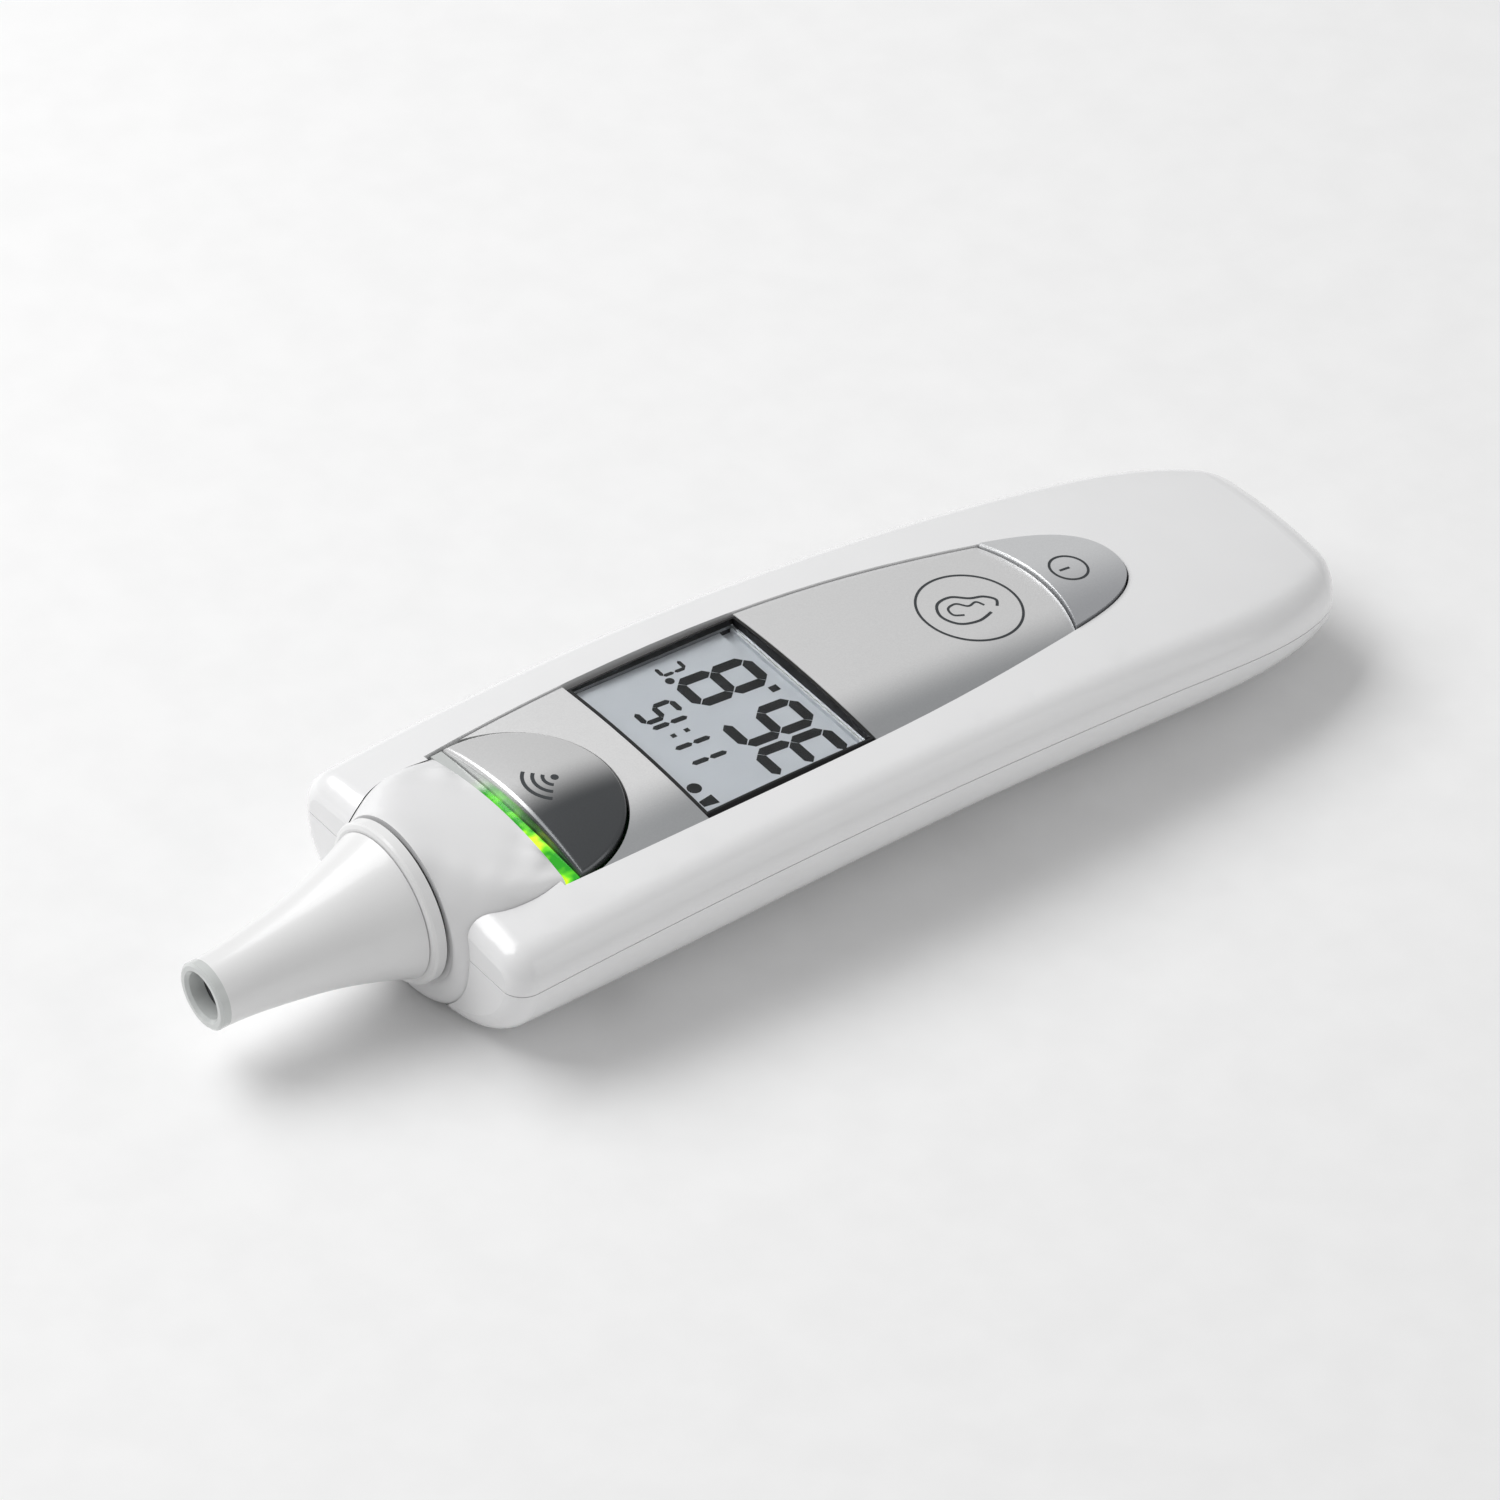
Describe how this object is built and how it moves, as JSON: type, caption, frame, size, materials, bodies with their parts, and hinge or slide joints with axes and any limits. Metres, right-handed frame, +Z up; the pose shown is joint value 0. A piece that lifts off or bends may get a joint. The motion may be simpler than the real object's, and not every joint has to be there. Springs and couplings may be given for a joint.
{
  "type": "digital ear thermometer",
  "caption": "Slim white handheld infra-red ear thermometer with a flared probe, silver control panel, display window, lit scan button and sliding battery cover.",
  "frame": {"origin": "middle of the thermometer's length and width, on the surface it lies on", "axes": "+X towards the handle end, -X towards the probe tip, +Y towards the left of somebody who looks from the handle end to the probe, +Z up out of the display"},
  "size_m": [0.1494, 0.0408, 0.0212],
  "materials": {
    "casing_white": "high gloss moulded ABS",
    "nose_white": "semi-gloss moulded ABS",
    "probe_white": "semi-gloss moulded ABS",
    "rim_grey": "translucent grey rim",
    "collar_white": "glossy ring",
    "seal_grey": "soft matt rubber",
    "panel_silver": "satin silver lacquer",
    "button_silver": "satin silver lacquer",
    "frame_black": "black moulded plastic",
    "lens_clear": "clear acrylic",
    "guide_green": "clear acrylic lit from below",
    "lcd_grey": "liquid crystal glass",
    "reflector_white": "white diffuser sheet",
    "window_dark": "infra-red filter window",
    "gold": "gold plated",
    "sensor_metal": "nickel plated can",
    "holder_alu": "machined",
    "board_green": "solder mask",
    "chip_black": "moulded epoxy",
    "lead_metal": "tinned",
    "flex_amber": "polyimide film",
    "elastomer": "conductive elastomer",
    "switch_black": "moulded nylon",
    "plunger_white": "moulded acetal",
    "led_green": "green emitter",
    "ceramic_tan": "ceramic chip",
    "cell_steel": "steel can",
    "spring_steel": "nickel plated spring steel",
    "screw_steel": "zinc plated"
  },
  "bodies": {
    "housing": {"upper_casing": "casing_white", "lower_casing": "casing_white", "nose_cap": "nose_white", "probe_cone": "probe_white", "probe_tip_rim": "rim_grey", "probe_collar_ring": "collar_white", "probe_seal": "seal_grey", "sensor_window": "window_dark", "waveguide_tube": "gold", "sensor_holder": "holder_alu", "thermopile_sensor": "sensor_metal", "sensor_leads": "gold", "sensor_board": "board_green", "sensor_flex_cable": "flex_amber", "flex_connector": "switch_black", "front_panel": "panel_silver", "light_guide": "guide_green", "lcd_frame": "frame_black", "display_lens": "lens_clear", "lcd_glass": "lcd_grey", "lcd_reflector": "reflector_white", "zebra_strips": "elastomer", "main_pcb": "board_green", "pcb_screws": "screw_steel", "scan_switch_body": "switch_black", "power_switch_body": "switch_black", "status_leds": "led_green", "controller_chip": "chip_black", "chip_leads": "lead_metal", "pcb_capacitors": "ceramic_tan", "clock_crystal": "sensor_metal", "piezo_buzzer": "switch_black", "battery_cell": "cell_steel", "battery_holder": "switch_black", "battery_spring": "spring_steel", "battery_clip": "spring_steel", "casing_screws": "screw_steel"},
    "scan_button": {"scan_button": "button_silver"},
    "scan_plunger": {"scan_switch_plunger": "plunger_white"},
    "power_button": {"power_button": "button_silver"},
    "power_plunger": {"power_switch_plunger": "plunger_white"},
    "battery_cover": {"battery_cover": "casing_white"}
  },
  "joints": [
    {"name": "scan_press", "type": "slide", "parent": "housing", "child": "scan_button", "axis": [0, 0, -1], "range_m": [0, 0.0005], "stiffness_N_per_m": 2500},
    {"name": "scan_plunger_press", "type": "slide", "parent": "housing", "child": "scan_plunger", "axis": [0, 0, -1], "range_m": [0, 0.0005]},
    {"name": "power_press", "type": "slide", "parent": "housing", "child": "power_button", "axis": [0, 0, -1], "range_m": [0, 0.0005], "stiffness_N_per_m": 2500},
    {"name": "power_plunger_press", "type": "slide", "parent": "housing", "child": "power_plunger", "axis": [0, 0, -1], "range_m": [0, 0.0005]},
    {"name": "battery_cover_slide", "type": "slide", "parent": "housing", "child": "battery_cover", "axis": [1, 0, 0], "range_m": [0, 0.05]}
  ],
  "couplings": [
    {"joint": "scan_plunger_press", "follows": "scan_press", "ratio": 1},
    {"joint": "power_plunger_press", "follows": "power_press", "ratio": 1}
  ]
}
